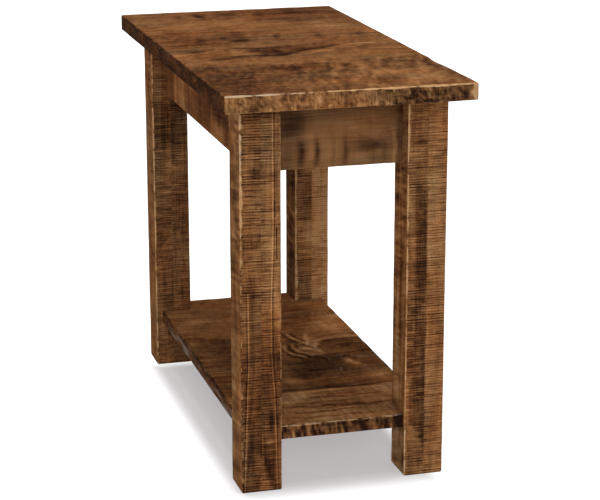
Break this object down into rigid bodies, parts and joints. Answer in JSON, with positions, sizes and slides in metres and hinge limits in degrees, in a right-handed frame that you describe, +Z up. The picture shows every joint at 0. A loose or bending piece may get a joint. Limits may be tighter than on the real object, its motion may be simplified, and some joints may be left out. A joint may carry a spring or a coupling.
{
  "type": "rustic side table",
  "caption": "Narrow rustic side table of thick stained boards: overhanging top, square laminated legs, deep aprons and a low shelf notched round the legs.",
  "frame": {"origin": "on the floor under the middle of the table", "axes": "+X along the short side toward the right, +Y along the long side toward the back, +Z up"},
  "size_m": [0.386, 0.768, 0.622],
  "materials": {
    "top_wood": "satin",
    "shelf_wood": "satin",
    "leg_wood": "matte",
    "apron_wood": "satin",
    "hidden_wood": "matte",
    "screw_steel": "zinc plated"
  },
  "bodies": {
    "root": {"top_board_front": "top_wood", "top_board_second": "top_wood", "top_board_third": "top_wood", "top_board_back": "top_wood", "shelf_board_front": "shelf_wood", "shelf_board_middle": "shelf_wood", "shelf_board_back": "shelf_wood", "leg_back_left_inner": "leg_wood", "leg_back_left_outer": "leg_wood", "leg_back_right_inner": "leg_wood", "leg_back_right_outer": "leg_wood", "leg_front_left_inner": "leg_wood", "leg_front_left_outer": "leg_wood", "leg_front_right_inner": "leg_wood", "leg_front_right_outer": "leg_wood", "apron_front": "apron_wood", "apron_back": "apron_wood", "apron_left": "apron_wood", "apron_right": "apron_wood", "corner_block_back_left": "hidden_wood", "corner_block_back_right": "hidden_wood", "corner_block_front_left": "hidden_wood", "corner_block_front_right": "hidden_wood", "top_button_left_front": "hidden_wood", "top_button_left_middle": "hidden_wood", "top_button_left_back": "hidden_wood", "top_button_right_front": "hidden_wood", "top_button_right_middle": "hidden_wood", "top_button_right_back": "hidden_wood", "corner_block_screws": "screw_steel", "top_button_screws": "screw_steel"}
  },
  "joints": []
}
